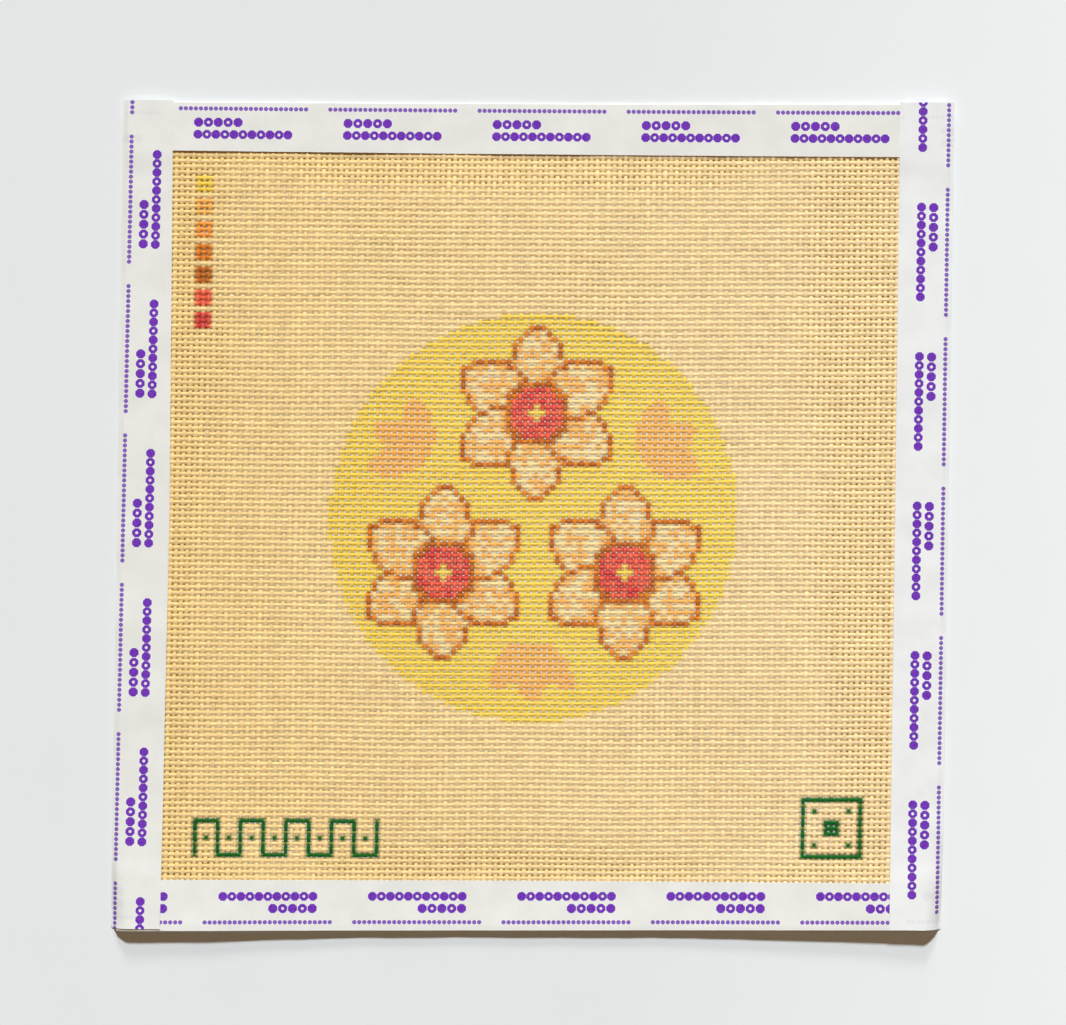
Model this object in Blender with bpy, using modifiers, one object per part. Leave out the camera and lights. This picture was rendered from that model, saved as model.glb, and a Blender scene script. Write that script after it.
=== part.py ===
"""A square of painted needlepoint canvas whose four edges are bound with folded tape.

It lies face up. A band down its middle rests flat, and its left and right sides curl up a little.
+X runs to the right, +Y to the top edge, and +Z up from the surface that it lies on.
"""

import math

import bmesh
import bpy

# The canvas: a square that hangs slightly out of true
CANVAS_SIDE = 0.2032
CANVAS_THICK = 0.0006
LEAN = 0.0124

# The band that rests flat, and how far each side has curled up at the canvas's edge
FLAT_HALF_WIDTH = 0.012
CURL_LEFT = 0.0010
CURL_RIGHT = 0.0014

# The tape: folded along its length over each edge, and laid by hand. Its flap on the face, and
# how far its fold stands out from the canvas's edge, are given at its start, middle and end
TAPE_WIDTH = 0.0254
TAPE_THICK = 0.0002
FLAP_TOP, FOLD_TOP = (0.01085, 0.0115, 0.0121), (0.00122, 0.00114, 0.00105)
FLAP_BOTTOM, FOLD_BOTTOM = (0.01135, 0.0113, 0.01105), (0.00145, 0.00110, 0.00060)
FLAP_LEFT, FOLD_LEFT = (0.0109, 0.01165, 0.0110), (0.00148, 0.00148, 0.00148)
FLAP_RIGHT, FOLD_RIGHT = (0.0115, 0.0116, 0.0119), (0.00162, 0.00162, 0.00162)

# How far the bottom and the top end of each side tape stand out from the canvas's edge
ENDS_LEFT = (0.0008, 0.0015)
ENDS_RIGHT = (0.0005, 0.0015)

# The clearance between touching pieces, and the length of the step that a side tape takes up
# onto the end tapes
GAP = 0.0003
STEP_LENGTH = 0.0026

# How finely the curved places are divided
CURL_SEGMENTS = 12
FOLD_SEGMENTS = 8
FLAP_SEGMENTS = 4
STEP_SEGMENTS = 4

CANVAS_COLOUR, CANVAS_ROUGHNESS = (0.66, 0.47, 0.21, 1.0), 0.85
TAPE_COLOUR, TAPE_ROUGHNESS = (0.82, 0.82, 0.80, 1.0), 0.7

# Edges bent more than this are shaded sharp
SHARP_BEND = math.radians(40)

HALF = CANVAS_SIDE / 2
FLAP_HEIGHT = CANVAS_THICK / 2 + GAP + TAPE_THICK / 2
CORNER_HEIGHT = FLAP_HEIGHT + TAPE_THICK + GAP
REST_HEIGHT = FLAP_HEIGHT + TAPE_THICK / 2


def clear_scene():
    for item in list(bpy.data.objects):
        bpy.data.objects.remove(item, do_unlink=True)


def make_material(name, colour, roughness):
    material = bpy.data.materials.new(name)
    material.use_nodes = True
    shader = material.node_tree.nodes["Principled BSDF"]
    shader.inputs["Base Color"].default_value = colour
    shader.inputs["Roughness"].default_value = roughness
    shader.inputs["Metallic"].default_value = 0.0
    return material


def curl(across):
    """How high the sheet's middle layer is above its flat band, at a place across the sheet."""
    beyond = max(0.0, abs(across) - FLAT_HALF_WIDTH) / (HALF - FLAT_HALF_WIDTH)
    most = CURL_RIGHT if across > 0 else CURL_LEFT
    return most * beyond**2


def place(across, up, height):
    """The point at a place on the square canvas and a height from its middle layer."""
    return (across + LEAN * up, up, REST_HEIGHT + curl(across) + height)


def steps(start, end, count):
    """Evenly spaced values from start to end, without the last."""
    return [start + (end - start) * i / count for i in range(count)]


def columns():
    """Places across the sheet: close together where it curls, one wide band where it is flat."""
    left = steps(-HALF, -FLAT_HALF_WIDTH, CURL_SEGMENTS)
    right = steps(FLAT_HALF_WIDTH, HALF, CURL_SEGMENTS)
    return left + [-FLAT_HALF_WIDTH] + right + [HALF]


def make_sheet(name, across_count, along_count, point, thickness, material, collection):
    """A closed thin sheet: a grid whose corner (i, j) goes to point(i, j), made solid."""
    mesh = bpy.data.meshes.new(name)
    grid = bmesh.new()
    bmesh.ops.create_grid(grid, x_segments=across_count, y_segments=along_count, size=1.0)
    for corner in grid.verts:
        i = round((corner.co.x + 1) / 2 * across_count)
        j = round((corner.co.y + 1) / 2 * along_count)
        corner.co = point(i, j)
    bmesh.ops.recalc_face_normals(grid, faces=grid.faces)
    grid.to_mesh(mesh)
    grid.free()
    mesh.materials.append(material)
    mesh.shade_smooth()
    mesh.set_sharp_from_angle(angle=SHARP_BEND)
    sheet = bpy.data.objects.new(name, mesh)
    collection.objects.link(sheet)
    solid = sheet.modifiers.new("thickness", "SOLIDIFY")
    solid.thickness = thickness
    solid.offset = 0.0
    solid.use_even_offset = True
    return sheet


def folded_section(flap, fold, height, flap_segments):
    """A folded tape's section, from its edge on the face round the fold to its edge behind.

    Each point is a distance outward from the canvas's middle and a height from its middle layer.
    """
    reach = fold - TAPE_THICK / 2
    around = math.pi * math.sqrt((reach**2 + height**2) / 2)
    flap_behind = TAPE_WIDTH - flap - around
    section = [(d, height) for d in steps(HALF - flap, HALF, flap_segments)]
    for turn in steps(math.pi / 2, -math.pi / 2, FOLD_SEGMENTS):
        section.append((HALF + reach * math.cos(turn), height * math.sin(turn)))
    section += [(d, -height) for d in steps(HALF, HALF - flap_behind, flap_segments)]
    section.append((HALF - flap_behind, -height))
    return section


def at_place(values, along):
    """A value given at a tape's start, middle and end, at a place along it."""
    first, middle, last = values
    share = along / HALF
    return middle + (middle - first if share < 0 else last - middle) * share


def make_end_tape(name, side, flaps, folds, material, collection):
    """The tape along the top edge (side 1) or the bottom edge (side -1)."""
    places = columns()

    def point(i, j):
        across = places[i]
        flap, fold = at_place(flaps, across), at_place(folds, across)
        outward, height = folded_section(flap, fold, FLAP_HEIGHT, 1)[j]
        return place(across, side * outward, height)

    section_count = 2 + FOLD_SEGMENTS
    return make_sheet(
        name, len(places) - 1, section_count, point, TAPE_THICK, material, collection
    )


def side_tape_rows(ends):
    """Places up a side tape, each with the height of its flap over the canvas's middle layer.

    The flap steps up onto the end tapes just before it reaches them.
    """
    rows = []
    for side, end, flaps in ((-1, ends[0], FLAP_BOTTOM), (1, ends[1], FLAP_TOP)):
        top_of_step = HALF - max(flaps) - GAP
        ramp = [(HALF + end, CORNER_HEIGHT)]
        for k in range(STEP_SEGMENTS + 1):
            share = k / STEP_SEGMENTS
            eased = share * share * (3 - 2 * share)
            height = CORNER_HEIGHT + (FLAP_HEIGHT - CORNER_HEIGHT) * eased
            ramp.append((top_of_step - STEP_LENGTH * share, height))
        if side < 0:
            rows += [(-up, height) for up, height in ramp]
            rows.append((0.0, FLAP_HEIGHT))
        else:
            rows += ramp[::-1]
    return rows


def make_side_tape(name, side, flaps, folds, ends, material, collection):
    """The tape along the right edge (side 1) or the left edge (side -1), over the end tapes."""
    rows = side_tape_rows(ends)

    def point(i, j):
        up, flap_height = rows[j]
        flap, fold = at_place(flaps, up), at_place(folds, up)
        outward, height = folded_section(flap, fold, flap_height, FLAP_SEGMENTS)[i]
        return place(side * outward, up, height)

    section_count = 2 * FLAP_SEGMENTS + FOLD_SEGMENTS
    return make_sheet(
        name, section_count, len(rows) - 1, point, TAPE_THICK, material, collection
    )


def make_canvas(material, collection):
    places = columns()
    ends = (-HALF, HALF)

    def point(i, j):
        return place(places[i], ends[j], 0.0)

    return make_sheet(
        "canvas", len(places) - 1, 1, point, CANVAS_THICK, material, collection
    )


def main():
    clear_scene()
    collection = bpy.data.collections.new("needlepoint_canvas")
    bpy.context.scene.collection.children.link(collection)
    canvas_material = make_material("canvas_cotton", CANVAS_COLOUR, CANVAS_ROUGHNESS)
    make_canvas(canvas_material, collection)
    for name, side, flaps, folds in (
        ("tape_top", 1, FLAP_TOP, FOLD_TOP),
        ("tape_bottom", -1, FLAP_BOTTOM, FOLD_BOTTOM),
    ):
        material = make_material(name + "_cloth", TAPE_COLOUR, TAPE_ROUGHNESS)
        make_end_tape(name, side, flaps, folds, material, collection)
    for name, side, flaps, folds, ends in (
        ("tape_left", -1, FLAP_LEFT, FOLD_LEFT, ENDS_LEFT),
        ("tape_right", 1, FLAP_RIGHT, FOLD_RIGHT, ENDS_RIGHT),
    ):
        material = make_material(name + "_cloth", TAPE_COLOUR, TAPE_ROUGHNESS)
        make_side_tape(name, side, flaps, folds, ends, material, collection)


main()
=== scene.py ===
"""The looks of a painted needlepoint canvas that lies on a white table, seen from straight above."""
from collections import namedtuple
import math

import bpy
import numpy as np
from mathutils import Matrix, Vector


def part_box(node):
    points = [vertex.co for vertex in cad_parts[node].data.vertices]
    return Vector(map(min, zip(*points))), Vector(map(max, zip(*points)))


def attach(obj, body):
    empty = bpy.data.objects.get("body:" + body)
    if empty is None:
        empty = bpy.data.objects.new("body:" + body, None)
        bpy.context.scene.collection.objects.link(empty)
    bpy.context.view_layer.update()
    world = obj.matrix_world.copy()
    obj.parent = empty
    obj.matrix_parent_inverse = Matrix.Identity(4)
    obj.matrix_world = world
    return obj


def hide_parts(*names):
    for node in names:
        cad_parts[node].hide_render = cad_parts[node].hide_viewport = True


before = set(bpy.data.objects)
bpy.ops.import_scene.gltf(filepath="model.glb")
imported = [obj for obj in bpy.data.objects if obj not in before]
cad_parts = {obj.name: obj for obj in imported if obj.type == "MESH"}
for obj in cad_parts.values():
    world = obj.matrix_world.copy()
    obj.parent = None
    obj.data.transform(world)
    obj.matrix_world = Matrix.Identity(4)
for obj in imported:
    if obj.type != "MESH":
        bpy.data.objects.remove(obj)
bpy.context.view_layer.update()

# The sheet as the solids have it, in metres: half its side, how far its sides lean to the
# right, the half width of the band that rests flat, and how high each side curls
HALF = (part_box("canvas")[1][1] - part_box("canvas")[0][1]) / 2
LEAN = 0.0124
FLAT_HALF_WIDTH = 0.012
CURL_LEFT = 0.0010
CURL_RIGHT = 0.0014
# The bound bottom end stands a little higher than the rows above it, by these amounts at these
# places across the sheet, and the lift fades out over this reach
LIFT_BOTTOM = (0.00040, 0.00074, 0.00053, 0.00058, 0.00060, 0.00042)
LIFT_PLACES = (-0.1030, -0.0780, -0.0450, 0.0, 0.0800, 0.1030)
LIFT_REACH = 0.040
# The tips of the two bottom corners bend down again, across this much and up this much of them,
# and they are already fully down a little before the end
CORNER_TIP = HALF + 0.0015
CORNER_ACROSS, CORNER_UP = 0.0045, 0.026
CORNER_DOWN_EARLY = 1.1
# How far in from the fold the tape is divided finely, where the corners bend it
BENT = 0.0032

# The weave: 18 threads to the inch, the upright threads more deeply waved than the level ones.
# The size that stiffens the bare threads makes them wider than those that paint was worked into
THREADS = 144
PITCH = 2 * HALF / THREADS
WEFT_WIDTH, WEFT_PAINTED = 0.00105, 0.00086
WARP_WIDTH, WARP_PAINTED = 0.00098, 0.00087
THREAD_THICK = 0.00015
WEFT_WAVE, WARP_WAVE = 0.00003, 0.00008
CREST = 0.22 * PITCH
# A thread's section, from one flank round over its ridge and back below, in half widths and in
# half thicknesses
SECTION_OUT = np.array([1.0, 0.52, 0.22, -0.22, -0.52, -1.0, -0.5, 0.5])
SECTION_UP = np.array([-0.15, 0.42, 1.0, 1.0, 0.42, -0.15, -1.0, -1.0])
SIDES = len(SECTION_OUT)
FIRST_SHOWN, LAST_SHOWN = 7, 136
# A hidden stretch of thread has a ring at each crossing whose number this divides, and at two more
HIDDEN_STEP = 6
HIDDEN_RINGS = (2, THREADS - 3)
BANDS = 5
# Edges bent more than this are shaded sharp, on the threads and on the tape
THREAD_SHARP, TAPE_SHARP = math.radians(75), math.radians(50)
# A band's flat map: the upright threads lie in rows of so many, each of this length, each thread
# fills this share of its row's height, and this many rows are spare
UPRIGHTS_ABREAST, UPRIGHT_LENGTH = 4, 0.245
MAP_FILL = 0.9
SPARE_ROWS = 2

# How uneven the threads are: how far they stray sideways, in metres, how much their width and
# thickness vary, as shares, and the lengths over which each does so
STRAY, STRAY_LENGTH = 0.00005, 0.004
WIDTH_VARIES, WIDTH_LENGTH = 0.12, 0.002
THICK_VARIES, THICK_LENGTH = 0.03, 0.005
# How far the whole weave has drifted from its square grid, how far it sags in its middle, and how
# much its height wanders, with the seed and the wavelength of each
DRIFT_ASIDE = (0.00012, 21, 0.07)
DRIFT_UP = (0.00012, 22, 0.06)
DRIFT_HEIGHT = (0.00004, 23, 0.05)
SAG = 0.0004

# The tapes cover this much of the canvas along each edge. Inside that window the canvas stands
# clear of the table by at least this much, once it is this far in
TAPE_COVER = 0.0118
CLEARANCE = 0.00080
CLEARANCE_REACH = 0.012
# The seeds of the picture's speckles and of the weave's unevenness
PICTURE_SEED, WEAVE_SEED = 7, 11

# The tape, laid by hand: its flap on the face at its start, middle and end, how far its fold
# stands out from the canvas's edge there, and how far each kind of tape's fold droops
TAPE_WIDTH = 0.0254
TAPE_THICK = 0.00011
FLAPS = {
    "tape_top": (0.01085, 0.0115, 0.0121),
    "tape_bottom": (0.01135, 0.0113, 0.01105),
    "tape_left": (0.0109, 0.01165, 0.0110),
    "tape_right": (0.0115, 0.0116, 0.0119),
}
FOLDS = {
    "tape_top": (0.00122, 0.00114, 0.00105),
    "tape_bottom": (0.00145, 0.00110, 0.00060),
    "tape_left": (0.00148, 0.00148, 0.00148),
    "tape_right": (0.00162, 0.00162, 0.00162),
}
SIDE_DROOP, END_DROOP = 0.0004, -0.00016
# The tape starts to slope down to its fold this far inside the canvas's edge
CREASE_INSIDE = 0.0003
# How far the bottom and the top end of each side tape stand out from the canvas's edge
SIDE_ENDS = {"tape_left": (0.0008, 0.0015), "tape_right": (0.0005, 0.0015)}
THREAD_TOP = WARP_WAVE + THREAD_THICK / 2
# The air between the threads and the tape, between layers that touch, inside a fold, and under
# the lowest point of the tape
THREAD_AIR, LAYER_AIR, FOLD_AIR, TABLE_AIR = 0.00004, 0.00002, 0.00001, 0.000005
FLAP_HEIGHT = THREAD_TOP + THREAD_AIR + TAPE_THICK / 2
CORNER_STEP = TAPE_THICK + LAYER_AIR
STEP_LENGTH = 0.006
REST_HEIGHT = FLAP_HEIGHT + TAPE_THICK / 2 + LAYER_AIR
# How finely each tape is divided: along it, in its bent corners, and at the steps in a side tape
TAPE_PLACES = 91
END_CORNER_PLACES, SIDE_CORNER_PLACES = 12, 16
STEP_PLACES = 13
# How finely its section is divided: its slope, the turn of its fold, and its flaps near and far
# from the crease
SLOPE_PLACES, TURN_PLACES, NEAR_PLACES, FAR_PLACES = 9, 7, 8, 7
# The small ripples and the long waves of tape laid by hand: their heights and their wavelengths
RIPPLE, LONG_WAVE = (0.00003, 0.012), (0.00004, 0.03)
TAPE_SEEDS = {"tape_top": 31, "tape_bottom": 41, "tape_right": 51, "tape_left": 61}

# The print on the tape: a row of bold motifs, a shorter row under it and a fine row by the fold.
# It repeats every PRINT_PITCH, from a different start on each tape, and the strips were folded
# by hand, so the bold row's distance from the fold varies from a strip's start to its end.
# A row has its start, the room for one motif, the number of motifs, how much nearer the fold than
# the bold row it is, half a motif's width, and the size of the white dot in every second one
PrintRow = namedtuple("PrintRow", "start cell count nearer half dot")
BOLD_ROW = PrintRow(0.0, 0.00223, 11, 0.0, 0.00109, 0.00036)
SHORT_ROW = PrintRow(0.0123, 0.00244, 5, 0.0030, 0.00113, 0.00036)
FINE_ROW = PrintRow(-0.0039, 0.00124, 26, 0.0064, 0.00052, 0.0)
FINE_INK = 0.9
# How much of each motif's corners is kept: 2 would keep them whole
CORNERS_CUT = 1.4
PRINT_PITCH = 0.03705
PRINT_START = {
    "tape_top": 0.01484,
    "tape_bottom": 0.0257,
    "tape_left": 0.0113,
    "tape_right": 0.0076,
}
PRINT_LEVEL = {
    "tape_top": (0.0080, 0.0086),
    "tape_bottom": (0.00865, 0.0084),
    "tape_left": (0.0074, 0.0088),
    "tape_right": (0.0077, 0.00785),
}


def linear(red, green, blue):
    """A colour given as it looks on a screen, from 0 to 255, as the shader's own values."""

    def value(level):
        share = level / 255
        return share / 12.92 if share <= 0.04045 else ((share + 0.055) / 1.055) ** 2.4

    return (value(red), value(green), value(blue))


# The sized thread, paler on its crests than in its dips and on its flanks
# The deeper gold of the dips and flanks is partly painted light, for warm light shining through
BARE_CREST = linear(246, 217, 182)
BARE_DIP = linear(243, 209, 145)
BARE_FLANK = linear(242, 205, 129)
# Painted light: the canvas is painted a little paler to the right, most of all in its blue
PAINTED_LIGHT_TO_RIGHT = np.array([0.035, 0.065, 0.19])
# Each paint's colour, and how thickly it was laid compared with a plain coat
PAINTS = {
    "bare": (BARE_CREST, 0.0),
    "yellow": (linear(255, 212, 66), 0.75),
    "cream": (linear(255, 220, 150), 0.6),
    "peach": (linear(255, 182, 88), 1.1),
    "orange": (linear(255, 158, 62), 1.3),
    "brown": (linear(228, 128, 28), 1.6),
    "dark brown": (linear(200, 104, 22), 1.7),
    "coral": (linear(252, 86, 62), 1.0),
    "red": (linear(228, 62, 60), 1.3),
    "green": (linear(22, 100, 34), 6.0),
}
PAINT_NAMES = list(PAINTS)
# The dark paints clog the weave: their threads are wider, and darker where they dip, partly as
# painted shade
CLOGGING = [PAINT_NAMES.index(name) for name in ("brown", "dark brown", "coral", "red")]
CLOGGED_WIDTH = 0.00103
CLOGGED_SHADE = 0.28

# Which sides of a thread, from one flank round over the top, have the colour of its flanks
FLANKS = np.array([1.0, 0.8, 0.0, 0.0, 0.8, 1.0, 1.0, 1.0])
# How much of a plain coat stays on each side of a thread where it is a crest and where it dips:
# the paint lies thinly on the crests and pools lower down
CREST_COVER = np.array([1.0, 1.0, 0.8, 0.8, 1.0, 1.0, 0.4, 0.4])
DIP_COVER = np.array([1.0, 1.0, 1.0, 1.0, 1.0, 1.0, 0.6, 0.6])
LEAST_UNCOVERED = 0.01
# How bright a paint still is where an upright thread (True) or a level one (False) dips
# This darkening is partly paint pooled in the dips and partly painted shade
DIP_SHADE = {True: 0.58, False: 0.85}
# How much the bare thread's tone varies from thread to thread, along a thread and at each ring
TONE_OF_THREAD, TONE_ALONG, TONE_OF_RING = 0.03, 0.07, 0.05
TONE_LENGTH = 0.004
# The least and the most that one stitch's coat and its brightness vary
COAT_VARIES = (0.7, 1.2)
SHADE_VARIES = (0.93, 1.05)


# The lying sheet


def eased(share):
    """A share from 0 to 1 that starts and ends gently."""
    return share * share * (3 - 2 * share)


def rise(across, up):
    """How high the sheet's middle layer is above its flat band, at places on the sheet."""
    beyond = np.clip(np.abs(across) - FLAT_HALF_WIDTH, 0, None) / (HALF - FLAT_HALF_WIDTH)
    sides = np.where(across > 0, CURL_RIGHT, CURL_LEFT) * beyond**2
    near = np.clip(1 - (HALF - np.abs(up)) / LIFT_REACH, 0, None)
    bottom = np.interp(across, LIFT_PLACES, LIFT_BOTTOM)
    tip = np.clip(1 - (CORNER_TIP - np.abs(across)) / CORNER_ACROSS, 0, 1)
    tip = tip * np.clip(CORNER_DOWN_EARLY * (1 - (CORNER_TIP + up) / CORNER_UP), 0, 1)
    return (sides + np.where(up > 0, 0.0, bottom) * near**2) * (1 - eased(tip))


def place(across, up, height):
    """Points at places on the square canvas and heights from its middle layer."""
    across, up, height = np.broadcast_arrays(across, up, height)
    return np.stack(
        [across + LEAN * up, up, REST_HEIGHT + rise(across, up) + height], axis=-1
    )


def swell(across, up, seed, wavelength):
    """A smooth random field over the sheet, from about -1 to 1."""
    waves, shortest, longest = 5, 0.7, 1.5
    random = np.random.default_rng(seed)
    total = 0.0
    for _ in range(waves):
        heading, phase = random.uniform(0, 2 * math.pi, 2)
        length = wavelength * random.uniform(shortest, longest)
        along = across * math.cos(heading) + up * math.sin(heading)
        total = total + np.sin(2 * math.pi * along / length + phase)
    return total / math.sqrt(waves)


def unevenness(random, threads, places, wavelength):
    """Smooth random values from -1 to 1 along each of some threads, one row a thread."""
    at = (places - places[0]) / wavelength
    knots = random.uniform(-1, 1, (threads, int(at[-1]) + 3))
    index = at.astype(int)
    share = eased(at - index)
    return knots[:, index] * (1 - share) + knots[:, index + 1] * share


# The painted picture, one paint for each crossing of two threads. Its measures are in stitches

ROUND_MIDDLE, ROUND_RADIUS = (71.8, 71.6), 36.0
# A petal and a leaf: how far out its middle is, half its length and half its width
PETAL, LEAF = (8.2, 7.4, 5.2), (5.2, 5.4, 2.7)
POINTED = 0.7
PETALS = 6
LEAF_TURNS = (-0.75, 0.75, 0.0)
# How far the flowers and the roots of the leaves are from the middle of the round
FLOWER_OUT, ROOT_OUT = 18.4, 22.0
# A flower's middle: the radii of its rim, its disc and its eye
RIM, DISC, EYE = 6.0, 4.9, 1.3
# The share of stitches that have the second paint
PEACH_IN_PETAL, DARK_IN_OUTLINE, DARK_IN_RIM, RED_IN_DISC = 0.55, 0.45, 0.6, 0.4
# The colour key, a column of small squares
KEY_COLUMN, KEY_TOP, KEY_STEP = 13, 130, 4
# The stepped line at the lower left: its lowest and highest row and half of one of its turns
LINE_LOW, LINE_HIGH, HALF_TURN, TURNS = 12, 18, 4, 4
# The small squares one inside the other at the lower right
SQUARE_COLUMN, SQUARE_ROW = 125, 17


def picture():
    """The paint's number at each crossing, as grid[column, row], from the lower left."""
    grid = np.zeros((THREADS, THREADS), int)
    column, row = np.mgrid[0:THREADS, 0:THREADS].astype(float)
    random = np.random.default_rng(PICTURE_SEED)

    def paint(where, name):
        grid[where] = PAINT_NAMES.index(name)

    def speckle(share):
        return random.random(grid.shape) < share

    def edge(inside):
        """The outermost stitches of a shape."""
        within = inside.copy()
        for axis in (0, 1):
            for step in (-1, 1):
                within &= np.roll(inside, step, axis)
        return inside & ~within

    def petal(centre, heading, reach, half_length, half_width):
        """A pointed oval whose middle is some way out from a centre."""
        dx, dy = column - centre[0], row - centre[1]
        along = dx * math.cos(heading) + dy * math.sin(heading) - reach
        aside = dy * math.cos(heading) - dx * math.sin(heading)
        width = half_width * np.clip(1 - (along / half_length) ** 2, 0, None) ** POINTED
        return np.abs(aside) < width

    def flower(centre, turn):
        for k in range(PETALS):
            inside = petal(centre, turn + k * math.radians(360 / PETALS), *PETAL)
            paint(inside, "cream")
            paint(inside & speckle(PEACH_IN_PETAL), "peach")
            paint(edge(inside), "brown")
            paint(edge(inside) & speckle(DARK_IN_OUTLINE), "dark brown")
        far = np.hypot(column - centre[0], row - centre[1])
        paint(far < RIM, "brown")
        paint((far < RIM) & speckle(DARK_IN_RIM), "dark brown")
        paint(far < DISC, "coral")
        paint((far < DISC) & speckle(RED_IN_DISC), "red")
        paint(far < EYE, "yellow")

    middle = np.array(ROUND_MIDDLE)
    paint(np.hypot(column - middle[0], row - middle[1]) <= ROUND_RADIUS, "yellow")
    for turn in (math.radians(90), math.radians(210), math.radians(330)):
        heading = np.array([math.cos(turn), math.sin(turn)])
        root = middle - ROOT_OUT * heading
        for fan in LEAF_TURNS:
            paint(petal(root, turn + math.pi + fan, *LEAF), "peach")
        flower(np.round(middle + FLOWER_OUT * heading), turn)
    for k, name in enumerate(
        ("yellow", "peach", "orange", "brown", "dark brown", "coral", "red")
    ):
        key_row = KEY_TOP - KEY_STEP * k
        paint((np.abs(column - KEY_COLUMN) <= 1) & (np.abs(row - key_row) <= 1), name)

    def line(first, last, low, high):
        paint((column >= first) & (column <= last) & (row >= low) & (row <= high), "green")

    dot_row = (LINE_LOW + LINE_HIGH) // 2
    for k in range(TURNS):
        left = KEY_COLUMN + 2 * HALF_TURN * k
        middle_column, right = left + HALF_TURN, left + 2 * HALF_TURN
        line(left, left, LINE_LOW, LINE_HIGH)
        line(left, middle_column, LINE_HIGH, LINE_HIGH)
        line(middle_column, middle_column, LINE_LOW, LINE_HIGH)
        line(middle_column, right, LINE_LOW, LINE_LOW)
        for dot in (left + HALF_TURN // 2, middle_column + HALF_TURN // 2):
            line(dot, dot, dot_row, dot_row)
    line(right, right, LINE_LOW, LINE_HIGH)
    aside, above = np.abs(column - SQUARE_COLUMN), np.abs(row - SQUARE_ROW)
    square = np.maximum(aside, above)
    paint((square == 5) | (square <= 1), "green")
    paint((square == 3) & (aside == above), "green")
    return grid


# The woven canvas, thread by thread


def thread_places():
    return (np.arange(THREADS) + 0.5) * PITCH - HALF


def rings_along(shown, steps, cuts=()):
    """Where a thread has its rings, and each ring's crossing.

    A thread that shows has a ring at each of some steps from each crossing in the window, and a
    hidden stretch has one at every HIDDEN_STEP crossings and at HIDDEN_RINGS. Where a band ends,
    half way to the crossings in cuts, there is one ring more, whose crossing is a half number.
    """
    at, crossing = [-HALF], [0]
    for k, centre in enumerate(thread_places()):
        if k in cuts:
            at.append(centre - PITCH / 2)
            crossing.append(k - 0.5)
        if shown and FIRST_SHOWN <= k <= LAST_SHOWN:
            at += [centre + step for step in steps]
            crossing += [k] * len(steps)
        elif k % HIDDEN_STEP == 0 or k in HIDDEN_RINGS:
            at.append(centre)
            crossing.append(k)
    return np.array([*at, HALF]), np.array([*crossing, THREADS - 1])


def in_window(crossing):
    return (crossing >= FIRST_SHOWN) & (crossing <= LAST_SHOWN)


def closed_tubes(centre, sideways, width, thick):
    """The points of closed tubes round lines of ring centres, as [tube, ring, side, xyz]."""
    out = SECTION_OUT * width[..., None] / 2
    up = SECTION_UP * thick[..., None] / 2
    upwards = np.array([0.0, 0.0, 1.0])
    return centre[..., None, :] + out[..., None] * sideways + up[..., None] * upwards


class Tubes:
    """Closed tubes gathered into one mesh, with a colour and a share of paint at each point."""

    def __init__(self):
        self.points, self.colours, self.painted = [], [], []
        self.quads, self.caps, self.maps = [], [], []
        self.count = 0

    def add(self, points, colour, painted, strips):
        """Adds some tubes.

        strips is their places on the flat map: left ends, lengths, bottoms and heights.
        """
        tubes, rings, sides, _ = points.shape
        if not tubes:
            return
        index = self.count + np.arange(tubes * rings * sides).reshape(tubes, rings, sides)
        after = np.roll(index, -1, axis=2)
        quads = np.stack(
            [index[:, :-1], after[:, :-1], after[:, 1:], index[:, 1:]], axis=-1
        )
        left, length, bottom, height = (np.reshape(part, (-1, 1, 1)) for part in strips)
        along = left + length * (np.arange(rings - 1) / (rings - 1))[None, :, None]
        step = length / (rings - 1)
        level = bottom + height * (np.arange(sides) / sides)[None, None, :]
        right, top = along + step, level + height / sides
        corners = [(along, level), (along, top), (right, top), (right, level)]
        flat = [np.stack(np.broadcast_arrays(u, v), axis=-1) for u, v in corners]
        self.quads.append(quads.reshape(-1, 4))
        self.maps.append(np.stack(flat, axis=-2).reshape(-1, 4, 2))
        self.caps += [index[:, 0, ::-1], index[:, -1]]
        self.points.append(points.reshape(-1, 3))
        self.colours.append(colour.reshape(-1, 3))
        self.painted.append(painted.reshape(-1))
        self.count += index.size

    def make(self, name):
        quads, caps = np.concatenate(self.quads), np.concatenate(self.caps)
        mesh = bpy.data.meshes.new(name)
        points = np.concatenate(self.points)
        mesh.vertices.add(len(points))
        mesh.vertices.foreach_set("co", points.ravel())
        corners = np.concatenate([quads.ravel(), caps.ravel()])
        mesh.loops.add(len(corners))
        mesh.loops.foreach_set("vertex_index", corners)
        sizes = np.repeat([4, SIDES], [len(quads), len(caps)])
        mesh.polygons.add(len(sizes))
        mesh.polygons.foreach_set("loop_start", np.cumsum(sizes) - sizes)
        mesh.update(calc_edges=True)
        mesh.validate()
        mesh.shade_smooth()
        mesh.set_sharp_from_angle(angle=THREAD_SHARP)
        colour = mesh.color_attributes.new("paint", "FLOAT_COLOR", "POINT")
        shades = np.concatenate(self.colours)
        opaque = np.ones((len(shades), 1))
        colour.data.foreach_set("color", np.hstack([shades, opaque]).ravel())
        painted = mesh.attributes.new("painted", "FLOAT", "POINT")
        painted.data.foreach_set("value", np.concatenate(self.painted))
        flat = mesh.uv_layers.new(name="OFBake")
        places = np.zeros((len(corners), 2))
        places[: quads.size] = np.concatenate(self.maps).reshape(-1, 2)
        flat.uv.foreach_set("vector", places.ravel())
        piece = bpy.data.objects.new(name, mesh)
        bpy.context.scene.collection.objects.link(piece)
        return piece


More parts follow.
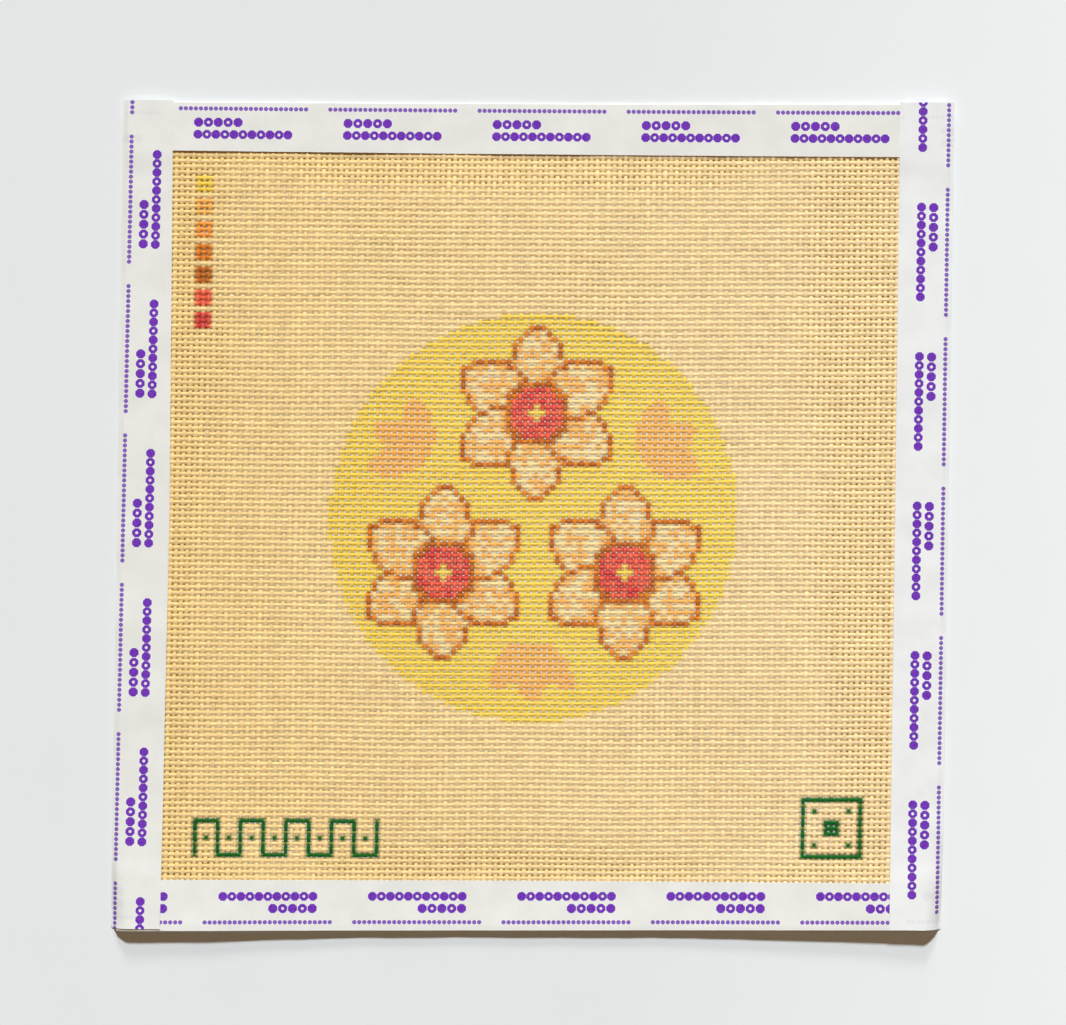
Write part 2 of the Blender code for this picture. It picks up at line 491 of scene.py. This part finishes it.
def thread_colours(paint, upright, over, along, random):
    """Each ring's and side's colour and share of paint, from each ring's paint number.

    over is 1 where the thread is a crest and -1 where it dips.
    """
    colours = np.array([colour for colour, _ in PAINTS.values()])
    thickness = np.array([thick for _, thick in PAINTS.values()])
    threads, rings = paint.shape
    crest = ((over + 1) / 2)[..., None]
    top = np.array(BARE_CREST) * crest + np.array(BARE_DIP) * (1 - crest)
    flank = FLANKS[:, None]
    bare = top[:, :, None, :] * (1 - flank) + np.array(BARE_FLANK) * flank
    tone = (
        1
        + TONE_OF_THREAD * random.standard_normal((threads, 1))
        + TONE_ALONG * unevenness(random, threads, along, TONE_LENGTH)
        + TONE_OF_RING * random.uniform(-1, 1, (threads, rings))
    )
    bare = bare * tone[:, :, None, None]
    cover = CREST_COVER * crest + DIP_COVER * (1 - crest)
    coat = (thickness[paint] * random.uniform(*COAT_VARIES, paint.shape))[..., None]
    amount = np.where(coat > 0, 1 - np.clip(1 - cover, LEAST_UNCOVERED, 1) ** coat, 0.0)
    full = colours[paint] * random.uniform(*SHADE_VARIES, paint.shape)[..., None]
    # Paint is darkened where a thread dips: pooled paint together with painted shade
    dip = np.where(np.isin(paint, CLOGGING), CLOGGED_SHADE, DIP_SHADE[upright])[..., None]
    full = full * (dip + (1 - dip) * crest)
    share = amount[..., None]
    colour = bare * (1 - share) + full[:, :, None, :] * share
    return np.clip(colour, 0, 1), amount


def drifted(across, up):
    """How far the woven threads have drifted from their square grid: sideways, up and in height.

    The level threads bow down the sheet a little in its middle, and nothing moves at the bound
    edges. Inside the tapes the weave is lifted clear of the table.
    """

    def wander(amount, seed, wavelength):
        return amount * swell(across, up, seed, wavelength)

    held = (1 - (across / HALF) ** 4) * (1 - (up / HALF) ** 4)
    aside = wander(*DRIFT_ASIDE) * held
    sag = (wander(*DRIFT_UP) - SAG * (1 - (across / HALF) ** 2)) * held
    inside = HALF - TAPE_COVER - np.maximum(np.abs(across), np.abs(up))
    free = np.clip(inside / CLEARANCE_REACH, 0, 1)
    lift = np.clip(CLEARANCE - REST_HEIGHT - rise(across, up), 0, None)
    lift = (lift + wander(*DRIFT_HEIGHT)) * free * free * (3 - 2 * free)
    return aside, sag, lift


Threads = namedtuple("Threads", "numbers crossing points colour painted")


def make_threads(numbers, upright, cuts, grid, random):
    """The tubes of some threads that run the same way and show, or stay hidden, together."""
    steps = (-CREST, CREST) if upright else (0.0,)
    along, crossing = rings_along(FIRST_SHOWN <= numbers[0] <= LAST_SHOWN, steps, cuts)
    count = len(numbers)
    parity = np.cos(math.pi * (crossing[None, :] + numbers[:, None]))
    over = parity if upright else -parity
    waved = in_window(crossing)[None, :] & in_window(numbers)[:, None]
    wave, hidden = (WARP_WAVE, -1) if upright else (WEFT_WAVE, 1)
    height = np.where(waved, over * wave, hidden * THREAD_THICK / 2)
    own = thread_places()[numbers][:, None]
    own = own + STRAY * unevenness(random, count, along, STRAY_LENGTH)
    run = np.broadcast_to(along, own.shape)
    across, up = (own, run) if upright else (run, own)
    aside, sag, lift = drifted(across, up)
    centre = place(across + aside, up + sag, height + lift)
    at = crossing.astype(int)
    paint = grid[numbers][:, at] if upright else grid[at][:, numbers].T
    bare, soaked = (WARP_WIDTH, WARP_PAINTED) if upright else (WEFT_WIDTH, WEFT_PAINTED)
    width = np.where(paint > 0, soaked, bare)
    width = np.where(np.isin(paint, CLOGGING), CLOGGED_WIDTH, width)
    width = width * (1 + WIDTH_VARIES * unevenness(random, count, along, WIDTH_LENGTH))
    thick = THREAD_THICK * (1 + THICK_VARIES * unevenness(random, count, along, THICK_LENGTH))
    colour, painted = thread_colours(paint, upright, over, along, random)
    # Painted light: the threads are paler to the right and darker to the left
    colour = np.clip(colour * (1 + PAINTED_LIGHT_TO_RIGHT * (across / HALF)[..., None, None]), 0, 1)
    sideways = np.array([-1.0, 0.0, 0.0]) if upright else np.array([0.0, 1.0, 0.0])
    points = closed_tubes(centre, sideways, width, thick)
    return Threads(numbers, crossing, points, colour, painted)


def band_rows():
    """The first and last row of each band: equal shares of the window, and the hidden rows."""
    shares = np.linspace(FIRST_SHOWN, LAST_SHOWN + 1, BANDS + 1).astype(int)
    starts = [0, *shares[1:-1]]
    ends = [*(shares[1:-1] - 1), THREADS - 1]
    return list(zip(starts, ends))


def make_canvas(material):
    """The canvas in bands from bottom to top, each with the length that it was cut to."""
    grid = picture()
    random = np.random.default_rng(WEAVE_SEED)
    numbers = np.arange(THREADS)
    parts = (numbers[in_window(numbers)], numbers[~in_window(numbers)])
    cuts = [first for first, _ in band_rows()[1:]]
    level = [make_threads(part, False, (), grid, random) for part in parts]
    upright = [make_threads(part, True, cuts, grid, random) for part in parts]
    pieces = []
    for k, (first, last) in enumerate(band_rows()):
        tubes = Tubes()
        rows = last - first + 1
        strip = 1 / (rows + THREADS / UPRIGHTS_ABREAST + SPARE_ROWS)
        thread_height = MAP_FILL * strip
        used = 0
        for threads in level:
            mine = (threads.numbers >= first) & (threads.numbers <= last)
            bottom = (used + np.arange(mine.sum())) * strip
            places = [0.0, 1.0, bottom, thread_height]
            tubes.add(threads.points[mine], threads.colour[mine], threads.painted[mine], places)
            used += mine.sum()
        for threads in upright:
            mine = (threads.crossing >= first - 0.5) & (threads.crossing <= last + 0.5)
            number = np.arange(len(threads.numbers))
            left = number % UPRIGHTS_ABREAST / UPRIGHTS_ABREAST
            bottom = (used + number // UPRIGHTS_ABREAST) * strip
            places = [left, UPRIGHT_LENGTH, bottom, thread_height]
            kept = (threads.points, threads.colour, threads.painted)
            tubes.add(*(part[:, mine] for part in kept), places)
            used += math.ceil(len(number) / UPRIGHTS_ABREAST)
        piece = tubes.make(f"canvas_band_{k + 1}")
        piece.data.materials.append(material)
        pieces.append((piece, rows * PITCH))
    return pieces


# The folded tapes


def folded_section(flap, fold, height, droop):
    """A folded tape's section as distances outward from the middle, heights and run of tape.

    It goes from the edge on the face to the canvas's edge, slopes down to the tip of the fold
    beyond it, and comes back underneath. The run is measured along the tape from the tip.
    """
    lip = TAPE_THICK / 2 + FOLD_AIR
    crease, tip = HALF - CREASE_INSIDE, HALF + fold - lip - TAPE_THICK / 2
    share = np.linspace(0, 1, SLOPE_PLACES)
    slope_out, slope_up = crease + (tip - crease) * share, height + (lip - height) * eased(share)
    turn = np.linspace(math.pi / 2, -math.pi / 2, TURN_PLACES)[1:-1]
    flat = flap - (HALF - crease)
    used = flat + 2 * np.hypot(*np.diff([slope_out, slope_up])).sum()
    behind = TAPE_WIDTH - used - math.pi * lip
    near = np.linspace(0, BENT, NEAR_PLACES)
    face = crease - np.concatenate([np.linspace(flat, BENT, FAR_PLACES)[:-1], near[:0:-1]])
    back = crease - np.concatenate([near[1:], np.linspace(BENT, behind, FAR_PLACES)[1:]])
    outward = np.concatenate(
        [face, slope_out, tip + lip * np.cos(turn), slope_out[::-1], back]
    )
    heights = np.concatenate(
        [0 * face + height, slope_up, lip * np.sin(turn), -slope_up[::-1], 0 * back - height]
    )
    run = np.concatenate([[0], np.cumsum(np.hypot(np.diff(outward), np.diff(heights)))])
    beyond = np.clip((outward - crease) / (tip - crease), 0, 1)
    heights = heights - droop * beyond * beyond * (3 - 2 * beyond)
    return outward, heights, run - run[len(run) // 2]


def make_strip(name, points, maps, material):
    """A thin closed sheet over a grid of points [along, across, xyz], with its flat maps."""
    rows, columns, _ = points.shape
    index = np.arange(rows * columns).reshape(rows, columns)
    quads = np.stack(
        [index[:-1, :-1], index[1:, :-1], index[1:, 1:], index[:-1, 1:]], axis=-1
    ).reshape(-1, 4)
    mesh = bpy.data.meshes.new(name)
    mesh.from_pydata(points.reshape(-1, 3).tolist(), [], quads.tolist())
    mesh.update()
    for label, places in maps.items():
        layer = mesh.uv_layers.new(name=label)
        layer.uv.foreach_set("vector", places.reshape(-1, 2)[quads.ravel()].ravel())
    mesh.materials.append(material)
    mesh.shade_smooth()
    piece = bpy.data.objects.new(name, mesh)
    bpy.context.scene.collection.objects.link(piece)
    solid = piece.modifiers.new("thickness", "SOLIDIFY")
    solid.thickness = TAPE_THICK
    solid.offset = 0.0
    thick = bpy.data.meshes.new_from_object(
        piece.evaluated_get(bpy.context.evaluated_depsgraph_get())
    )
    piece.modifiers.clear()
    piece.data = thick
    thick.name = name
    bpy.data.meshes.remove(mesh)
    thick.set_sharp_from_angle(angle=TAPE_SHARP)
    return piece


# Which way the print runs along each tape, and where it is counted from
READING = {"tape_top": -1, "tape_bottom": 1, "tape_left": -1, "tape_right": 1}
TAPE_END = HALF + 0.00045
# A distance from the fold at which there is no print
NO_PRINT = 9.0


def laid(name, along):
    """A tape's flap on the face and its fold, at a place along it."""
    stretch = (-HALF, 0.0, HALF)
    return np.interp(along, stretch, FLAPS[name]), np.interp(along, stretch, FOLDS[name])


def laid_by_hand(points, seed):
    """The points with small ripples and long waves, and with none of the tape below the table."""
    across, up = points[..., 0], points[..., 1]
    for k, (height, wavelength) in enumerate((RIPPLE, LONG_WAVE)):
        points[..., 2] += height * swell(across, up, seed + k, wavelength)
    points[..., 2] = np.maximum(points[..., 2], TAPE_THICK / 2 + TABLE_AIR)
    return points


def end_tape(name, material):
    """The tape over the top or the bottom edge."""
    side = 1 if name == "tape_top" else -1
    corner = HALF - np.linspace(0, CORNER_ACROSS, END_CORNER_PLACES)
    whole = np.linspace(-HALF, HALF, TAPE_PLACES)
    along = np.unique(np.concatenate([whole, corner, -corner]))
    points, maps = [], []
    for across in along:
        flap, fold = laid(name, across)
        outward, height, run = folded_section(flap, fold, FLAP_HEIGHT, END_DROOP)
        points.append(place(across, side * outward, height))
        start = (across if READING[name] > 0 else -across) + TAPE_END
        maps.append(np.stack(np.broadcast_arrays(start, run), axis=-1))
    points, maps = np.array(points), np.array(maps)
    if side < 0:
        points, maps = points[::-1], maps[::-1]
    points = laid_by_hand(points, TAPE_SEEDS[name])
    return make_strip(name + "_strip", points, {"tape": maps}, material)


def side_tape(name, material):
    """The tape over the left or the right edge, which steps up onto the two end tapes."""
    side = 1 if name == "tape_right" else -1
    near_end = 0 if side < 0 else -1
    step = HALF - np.array([FLAPS[below_it][near_end] for below_it in ("tape_bottom", "tape_top")])
    fine = np.linspace(-1.5 * STEP_LENGTH, 0.5 * STEP_LENGTH, STEP_PLACES)
    bottom, top = SIDE_ENDS[name]
    whole = np.linspace(-HALF - bottom, HALF + top, TAPE_PLACES)
    tip = -HALF - bottom + np.linspace(0, CORNER_UP, SIDE_CORNER_PLACES)
    along = np.unique(np.concatenate([whole, tip, -step[0] - fine, step[1] + fine]))
    points, maps, below = [], [], []
    for up in along:
        reach = step[1] if up > 0 else step[0]
        share = np.clip((abs(up) - reach) / STEP_LENGTH + 1, 0, 1)
        raised = FLAP_HEIGHT + CORNER_STEP * share * share * (3 - 2 * share)
        flap, fold = laid(name, up)
        outward, height, run = folded_section(flap, fold, raised, SIDE_DROOP)
        points.append(place(side * outward, up, height))
        start = (up if READING[name] > 0 else -up) + TAPE_END
        maps.append(np.stack(np.broadcast_arrays(start, run), axis=-1))
        end_tape_name = "tape_top" if up > 0 else "tape_bottom"
        beneath = side * outward * READING[end_tape_name] + TAPE_END
        inward = abs(up) - HALF if abs(up) > reach else NO_PRINT
        below.append(np.stack(np.broadcast_arrays(beneath, inward), axis=-1))
    points, maps, below = np.array(points), np.array(maps), np.array(below)
    if side > 0:
        points, maps, below = points[::-1], maps[::-1], below[::-1]
    points = laid_by_hand(points, TAPE_SEEDS[name])
    return make_strip(name + "_strip", points, {"tape": maps, "below": below}, material)


# Materials

# Cotton, crepe tape and the table shine much less than the shader does by itself
DULL = 0.15
BARE_ROUGHNESS, PAINTED_ROUGHNESS = 0.9, 0.75
TAPE_ROUGHNESS, TABLE_ROUGHNESS = 0.85, 0.9
# How rough every noise is, the range in which nearly all its values lie, and a narrower one
NOISE_ROUGHNESS = 0.55
NOISE_RANGE, NARROW_RANGE = (0.3, 0.7), (0.35, 0.65)
# How much fibres and blotches change the thread's brightness
FIBRE_SHADE, BLOTCH_SHADE = (0.90, 1.06), (-0.05, 0.05)
# The tape's second white, as a share of the first, and the ink where it is most worn
TAPE_SHADE = 0.95
INK_WORN = (0.92, 1.0)
# How strongly the print of an end tape shows through a side tape, and how far from the fold
GHOST_STRENGTH, GHOST_REACH = 0.25, 0.02
# The crepe of the tape: how fine and how uneven its ribs are, and how high beside its fibres
CREPE_SCALE, CREPE_UNEVEN, CREPE_HEIGHT = 1100.0, 1.5, 0.5
# Painted light: the table gets paler from left to right between these places, most of it smoothly
PALE_FROM, PALE_TO = 0.02, 0.13
PALE_SMOOTH, PALE_CLOUDY = 0.8, 0.2


class Graph:
    """A short way to write a material's nodes."""

    def __init__(self, name):
        self.material = bpy.data.materials.new(name)
        self.material.use_nodes = True
        self.tree = self.material.node_tree
        self.shader = self.tree.nodes["Principled BSDF"]
        self.shader.inputs["Specular IOR Level"].default_value = DULL

    def node(self, kind, **settings):
        made = self.tree.nodes.new("ShaderNode" + kind)
        for key, value in settings.items():
            setattr(made, key, value)
        return made

    def put(self, value, socket):
        if isinstance(value, bpy.types.NodeSocket):
            self.tree.links.new(value, socket)
        else:
            socket.default_value = value

    def math(self, operation, *values):
        made = self.node("Math", operation=operation)
        for value, socket in zip(values, made.inputs):
            self.put(value, socket)
        return made.outputs[0]

    def mix(self, share, first, second):
        made = self.node("Mix", data_type="RGBA")
        self.put(share, made.inputs["Factor"])
        for value, label in ((first, "A"), (second, "B")):
            socket = next(s for s in made.inputs if s.name == label and s.type == "RGBA")
            self.put(value, socket)
        return next(s for s in made.outputs if s.type == "RGBA")

    def noise(self, where, scale, detail):
        made = self.node("TexNoise")
        self.put(where, made.inputs["Vector"])
        made.inputs["Scale"].default_value = scale
        made.inputs["Detail"].default_value = detail
        made.inputs["Roughness"].default_value = NOISE_ROUGHNESS
        return made.outputs["Fac"]

    def map_range(self, value, before, after):
        """A value moved from the range before to the range after."""
        made = self.node("MapRange")
        for item, label in (
            (value, "Value"),
            (before[0], "From Min"),
            (before[1], "From Max"),
            (after[0], "To Min"),
            (after[1], "To Max"),
        ):
            self.put(item, made.inputs[label])
        return made.outputs["Result"]

    def bump(self, height, strength, distance):
        made = self.node("Bump")
        made.inputs["Strength"].default_value = strength
        made.inputs["Distance"].default_value = distance
        self.put(height, made.inputs["Height"])
        self.put(made.outputs["Normal"], self.shader.inputs["Normal"])


def canvas_material():
    """Sized cotton thread with paint on its upper side, finely fibrous and a little blotchy."""
    graph = Graph("painted_canvas")
    colour = graph.node("Attribute", attribute_name="paint").outputs["Color"]
    painted = graph.node("Attribute", attribute_name="painted").outputs["Fac"]
    where = graph.node("TexCoord").outputs["Object"]
    fibres = graph.noise(where, scale=5200.0, detail=4.0)
    blotches = graph.noise(where, scale=900.0, detail=2.0)
    shade = graph.math(
        "ADD",
        graph.map_range(fibres, NOISE_RANGE, FIBRE_SHADE),
        graph.map_range(blotches, NOISE_RANGE, BLOTCH_SHADE),
    )
    scaled = graph.node("VectorMath", operation="SCALE")
    graph.put(colour, scaled.inputs["Vector"])
    graph.put(shade, scaled.inputs["Scale"])
    graph.put(scaled.outputs["Vector"], graph.shader.inputs["Base Color"])
    roughness = graph.map_range(painted, (0.0, 1.0), (BARE_ROUGHNESS, PAINTED_ROUGHNESS))
    graph.put(roughness, graph.shader.inputs["Roughness"])
    graph.bump(fibres, strength=0.5, distance=0.00004)
    return graph.material


def print_mask(graph, along, run, name):
    """How much ink a tape has, from 0 to 1, at a length along it and from its fold."""
    levels = PRINT_LEVEL[name] if READING[name] > 0 else PRINT_LEVEL[name][::-1]
    level = graph.map_range(along, (0.0, 2 * TAPE_END), levels)
    far = graph.math("SUBTRACT", level, graph.math("ABSOLUTE", run))
    local = graph.math("SUBTRACT", along, PRINT_START[name])

    def motifs(row):
        """A row of squares with cut corners, the second, fourth and so on with a white dot."""
        place_in = graph.math(
            "FLOORED_MODULO", graph.math("SUBTRACT", local, row.start), PRINT_PITCH
        )
        within = graph.math("LESS_THAN", place_in, row.cell * row.count)
        in_cell = graph.math("FLOORED_MODULO", place_in, row.cell)
        dx = graph.math("ABSOLUTE", graph.math("SUBTRACT", in_cell, row.cell / 2))
        dy = graph.math("ABSOLUTE", graph.math("SUBTRACT", far, row.nearer))
        square = graph.math("LESS_THAN", graph.math("MAXIMUM", dx, dy), row.half)
        cut = graph.math("LESS_THAN", graph.math("ADD", dx, dy), CORNERS_CUT * row.half)
        shape = graph.math("MULTIPLY", square, cut)
        if row.dot:
            number = graph.math("FLOOR", graph.math("DIVIDE", place_in, row.cell))
            odd = graph.math("FLOORED_MODULO", number, 2.0)
            squares = (graph.math("MULTIPLY", part, part) for part in (dx, dy))
            round_dot = graph.math("LESS_THAN", graph.math("ADD", *squares), row.dot * row.dot)
            shape = graph.math("SUBTRACT", shape, graph.math("MULTIPLY", odd, round_dot))
        return graph.math("MULTIPLY", shape, within)

    bold, short = motifs(BOLD_ROW), motifs(SHORT_ROW)
    fine = graph.math("MULTIPLY", motifs(FINE_ROW), FINE_INK)
    both = graph.math("ADD", bold, short)
    return graph.math("MINIMUM", graph.math("ADD", both, fine), 1.0)


# Painted light: the right tape is painted a little whiter than the others
TAPE_WHITE = (*linear(233, 232, 228), 1.0)
RIGHT_TAPE_PAINTED_LIGHT = (*linear(239, 239, 240), 1.0)
INK = (*linear(104, 12, 178), 1.0)
GHOST = (*linear(205, 205, 214), 1.0)
TABLE_GREY = (*linear(227, 229, 231), 1.0)
TABLE_PAINTED_LIGHT = (*linear(239, 241, 243), 1.0)


def tape_material(name):
    """White crepe cloth tape with a purple print, and on a side tape a ghost of what is below."""
    graph = Graph(name + "_cloth")
    flat = graph.node("SeparateXYZ")
    graph.put(graph.node("UVMap", uv_map="tape").outputs["UV"], flat.inputs[0])
    along, run = flat.outputs["X"], flat.outputs["Y"]
    where = graph.node("TexCoord").outputs["Object"]
    fibres = graph.noise(where, scale=2600.0, detail=4.0)
    blotches = graph.noise(where, scale=160.0, detail=3.0)
    ink = print_mask(graph, along, run, name)
    # The right tape's whiter colour is painted light
    white = RIGHT_TAPE_PAINTED_LIGHT if name == "tape_right" else TAPE_WHITE
    darker = (*(TAPE_SHADE * level for level in white[:3]), 1.0)
    cloth = graph.mix(graph.map_range(blotches, NARROW_RANGE, (0.0, 1.0)), white, darker)
    if name in ("tape_left", "tape_right"):
        under = graph.node("SeparateXYZ")
        graph.put(graph.node("UVMap", uv_map="below").outputs["UV"], under.inputs[0])
        distance = graph.math("ABSOLUTE", under.outputs["Y"])
        near = graph.math("LESS_THAN", distance, GHOST_REACH)
        ghost = print_mask(graph, under.outputs["X"], under.outputs["Y"], "tape_top")
        share = graph.math("MULTIPLY", graph.math("MULTIPLY", ghost, near), GHOST_STRENGTH)
        cloth = graph.mix(share, cloth, GHOST)
    worn = graph.map_range(fibres, NOISE_RANGE, INK_WORN)
    colour = graph.mix(graph.math("MULTIPLY", ink, worn), cloth, INK)
    graph.put(colour, graph.shader.inputs["Base Color"])
    graph.shader.inputs["Roughness"].default_value = TAPE_ROUGHNESS
    weave = graph.node("TexWave", wave_type="BANDS", bands_direction="X")
    graph.put(where, weave.inputs["Vector"])
    weave.inputs["Scale"].default_value = CREPE_SCALE
    weave.inputs["Distortion"].default_value = CREPE_UNEVEN
    ribs = graph.math("MULTIPLY", weave.outputs["Fac"], CREPE_HEIGHT)
    height = graph.math("ADD", fibres, ribs)
    graph.bump(height, strength=0.35, distance=0.00005)
    return graph.material


def table_material():
    """A plain white table top with painted light: it gets a little paler to the right."""
    graph = Graph("white_table")
    where = graph.node("TexCoord").outputs["Object"]
    sideways = graph.node("SeparateXYZ")
    graph.put(where, sideways.inputs[0])
    # Painted light: the table is paler to the right
    paler = graph.map_range(sideways.outputs["X"], (PALE_FROM, PALE_TO), (0.0, PALE_SMOOTH))
    clouds = graph.noise(where, scale=40.0, detail=3.0)
    share = graph.math("ADD", paler, graph.math("MULTIPLY", clouds, PALE_CLOUDY))
    colour = graph.mix(share, TABLE_GREY, TABLE_PAINTED_LIGHT)
    graph.put(colour, graph.shader.inputs["Base Color"])
    graph.shader.inputs["Roughness"].default_value = TABLE_ROUGHNESS
    return graph.material


# The stage, the light and the camera

TABLE_REACH = 2.0
# The colours of the soft light from above and all round
SOFT_WARM, ROOM_WARM = (1.0, 0.696, 0.404), (1.0, 0.695, 0.403, 1.0)
# Where the camera's middle is on the sheet, and how wide a piece of the table it shows
CAMERA_OVER, PICTURE_WIDTH = (0.00022, 0.00114), 0.26507
CAMERA_TURN = math.radians(0.18)


def make_stage():
    """A plain square table top under the part."""
    mesh = bpy.data.meshes.new("table")
    signs = ((-1, -1), (1, -1), (1, 1), (-1, 1))
    corners = [(TABLE_REACH * x, TABLE_REACH * y, 0) for x, y in signs]
    mesh.from_pydata(corners, [], [(0, 1, 2, 3)])
    mesh.materials.append(table_material())
    table = bpy.data.objects.new("table", mesh)
    bpy.context.scene.collection.objects.link(table)


def make_light():
    """A bright window beyond the top edge, a paler one lower down, and warm light all round.

    height is how many degrees above the table a window is, and spread how many it takes up.
    """
    for name, energy, colour, height, spread in (
        ("window", 4.70, (0.858, 0.940, 1.0), 30.0, 6.0),
        ("far_window", 1.89, (1.0, 0.996, 0.915), 15.5, 8.0),
    ):
        sun = bpy.data.lights.new(name, "SUN")
        sun.energy = energy
        sun.color = colour
        sun.angle = math.radians(spread)
        lamp = bpy.data.objects.new(name, sun)
        lamp.rotation_euler = (math.radians(height - 90), 0.0, 0.0)
        bpy.context.scene.collection.objects.link(lamp)
    soft = bpy.data.lights.new("softbox", "AREA")
    soft.shape = "SQUARE"
    soft.size = 0.9
    soft.energy = 2.45
    soft.color = SOFT_WARM
    above = bpy.data.objects.new("softbox", soft)
    above.location = (0.0, 0.0, 1.5)
    bpy.context.scene.collection.objects.link(above)
    world = bpy.data.worlds.new("room")
    world.use_nodes = True
    room = world.node_tree.nodes["Background"]
    room.inputs["Color"].default_value = ROOM_WARM
    room.inputs["Strength"].default_value = 0.099
    bpy.context.scene.world = world
    bpy.context.scene.view_settings.view_transform = "Standard"


def make_camera():
    """Straight above, the sheet's middle a little low and to the left in the picture."""
    lens, sensor = 85.0, 36.0
    camera = bpy.data.cameras.new("camera")
    camera.lens = lens
    camera.sensor_width = sensor
    eye = bpy.data.objects.new("camera", camera)
    eye.location = (*CAMERA_OVER, PICTURE_WIDTH * lens / sensor)
    eye.rotation_euler = (0.0, 0.0, CAMERA_TURN)
    bpy.context.scene.collection.objects.link(eye)
    bpy.context.scene.camera = eye


def main():
    make_camera()
    bands = make_canvas(canvas_material())
    strips = []
    for name in ("tape_top", "tape_bottom"):
        strips.append((name, end_tape(name, tape_material(name)), 2 * HALF))
    for name in ("tape_left", "tape_right"):
        length = 2 * HALF + sum(SIDE_ENDS[name])
        strips.append((name, side_tape(name, tape_material(name)), length))
    for name, strip, length in strips:
        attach(strip, "root")
        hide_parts(name)
    for band, length in bands:
        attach(band, "root")
        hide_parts("canvas")
    make_stage()
    make_light()


main()
bpy.context.view_layer.update()
